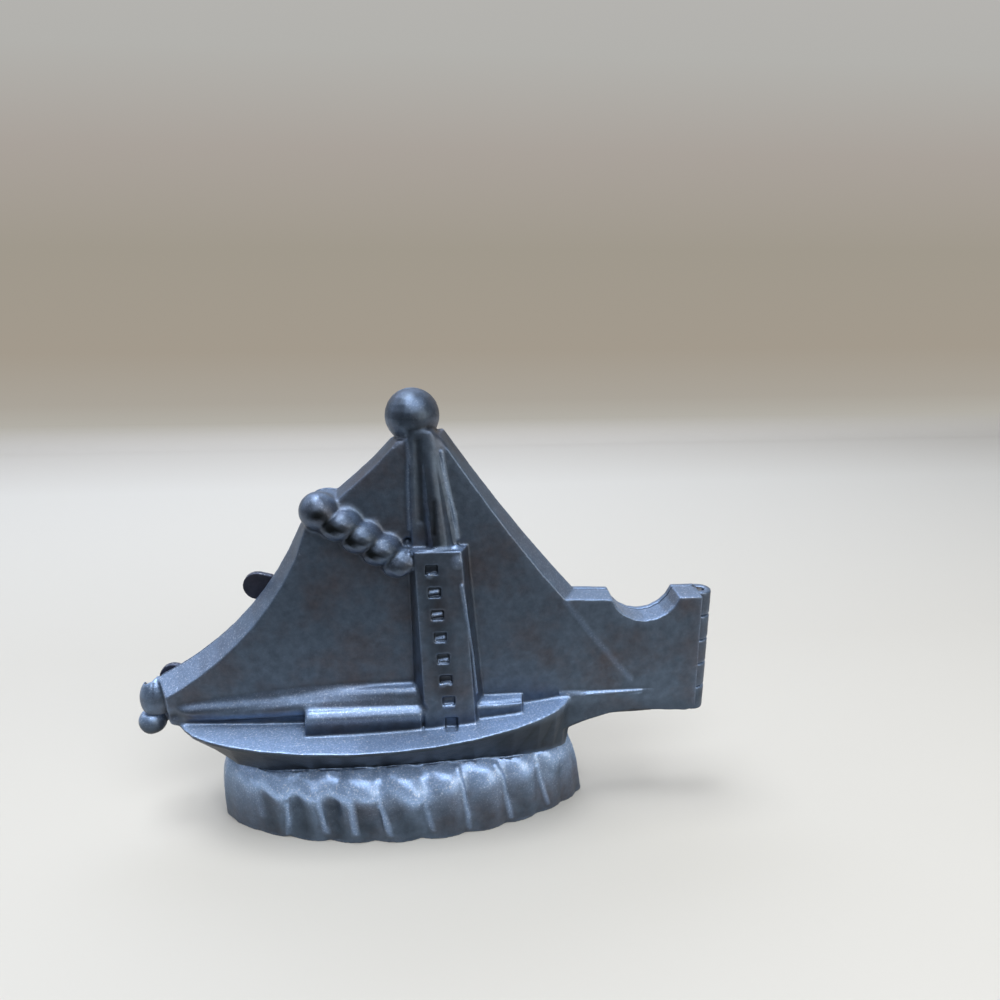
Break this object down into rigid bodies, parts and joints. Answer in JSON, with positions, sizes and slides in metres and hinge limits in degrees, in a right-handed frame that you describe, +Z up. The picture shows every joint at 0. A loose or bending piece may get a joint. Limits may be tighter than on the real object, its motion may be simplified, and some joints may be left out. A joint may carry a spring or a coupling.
{
  "type": "chocolate mould",
  "caption": "Hinged cast pewter mould shaped as a sailing boat on waves, opening like a book, with draw-out hinge and bow pins and a free-standing open base for pouring.",
  "frame": {"origin": "centre of the bounding box at the level of the base's rim", "axes": "+X runs along the boat from the bow to the hinge, +Y points to the back half, +Z is up and lies along both pins"},
  "size_m": [0.1352, 0.0352, 0.1021],
  "materials": {
    "cast_pewter": "dull cast pewter with a blue-grey bloom",
    "pin_steel": "drawn wire, dull",
    "tab_pewter": "dark tarnished pewter"
  },
  "bodies": {
    "back": {"back_half": "cast_pewter", "upper_pry_tab": "tab_pewter", "lower_pry_tab": "tab_pewter"},
    "front": {"front_half": "cast_pewter"},
    "hinge_wire": {"hinge_pin": "pin_steel"},
    "bow_wire": {"bow_pin": "pin_steel"}
  },
  "joints": [
    {"name": "mould_open", "type": "hinge", "parent": "back", "child": "front", "pos_m": [0.06465, 0, 0.038], "axis": [0, 0, 1], "range_deg": [0, 180]},
    {"name": "hinge_pin_draw", "type": "slide", "parent": "back", "child": "hinge_wire", "axis": [0, 0, 1], "range_m": [0, 0.032]},
    {"name": "bow_pin_draw", "type": "slide", "parent": "back", "child": "bow_wire", "axis": [0, 0, 1], "range_m": [0, 0.013]}
  ]
}
